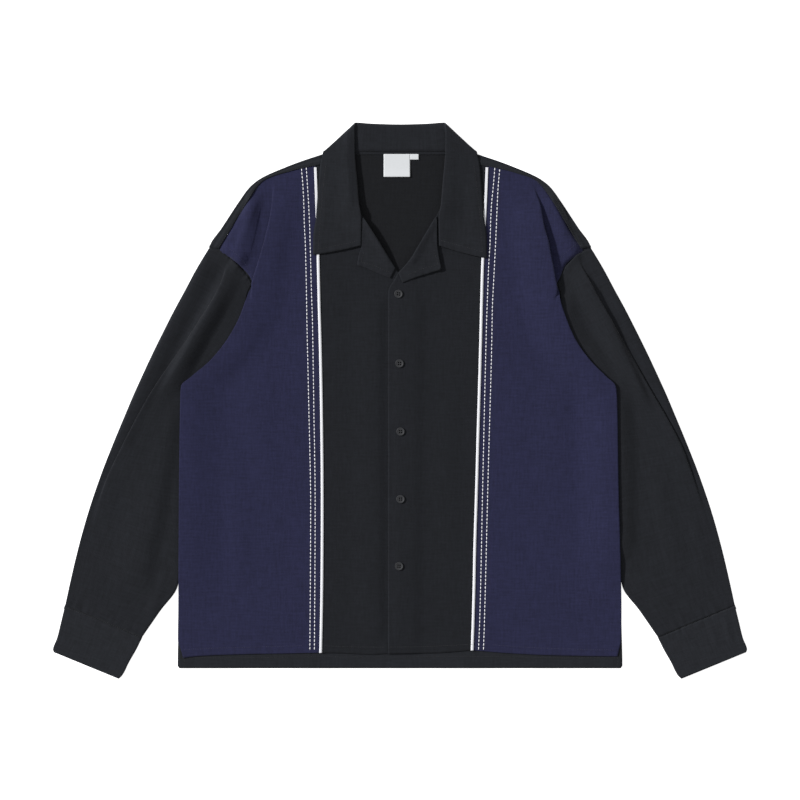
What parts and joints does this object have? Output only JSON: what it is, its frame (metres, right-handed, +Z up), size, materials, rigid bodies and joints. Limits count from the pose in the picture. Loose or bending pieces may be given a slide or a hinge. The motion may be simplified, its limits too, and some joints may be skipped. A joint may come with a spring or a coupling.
{
  "type": "shirt jacket",
  "caption": "Long-sleeved shirt jacket laid flat, with an open camp collar, contrast side fronts edged with piping, a buttoned front and plain cuffs.",
  "frame": {"origin": "on the surface the jacket lies on, under the middle of its box", "axes": "+X towards the wearer's left, +Y from hem to collar, +Z up from the surface, through the back to the front"},
  "size_m": [0.958, 0.7679, 0.0098],
  "materials": {
    "black_cloth": "matte plain weave with fine slubs",
    "navy_cloth": "matte plain weave with fine slubs",
    "white_piping": "matte woven tape",
    "label_cloth": "smooth woven label, bare",
    "button_plastic": "satin moulded plastic"
  },
  "bodies": {
    "root": {"back": "black_cloth", "side_front_right": "navy_cloth", "side_front_left": "navy_cloth", "centre_front_right": "black_cloth", "centre_front_left": "black_cloth", "facing_right": "black_cloth", "facing_left": "black_cloth", "collar": "black_cloth", "sleeve_right": "black_cloth", "sleeve_left": "black_cloth", "cuff_right": "black_cloth", "cuff_left": "black_cloth", "piping_right": "white_piping", "piping_left": "white_piping", "label": "label_cloth", "size_tab": "label_cloth", "button_1": "button_plastic", "button_2": "button_plastic", "button_3": "button_plastic", "button_4": "button_plastic", "button_5": "button_plastic"}
  },
  "joints": []
}
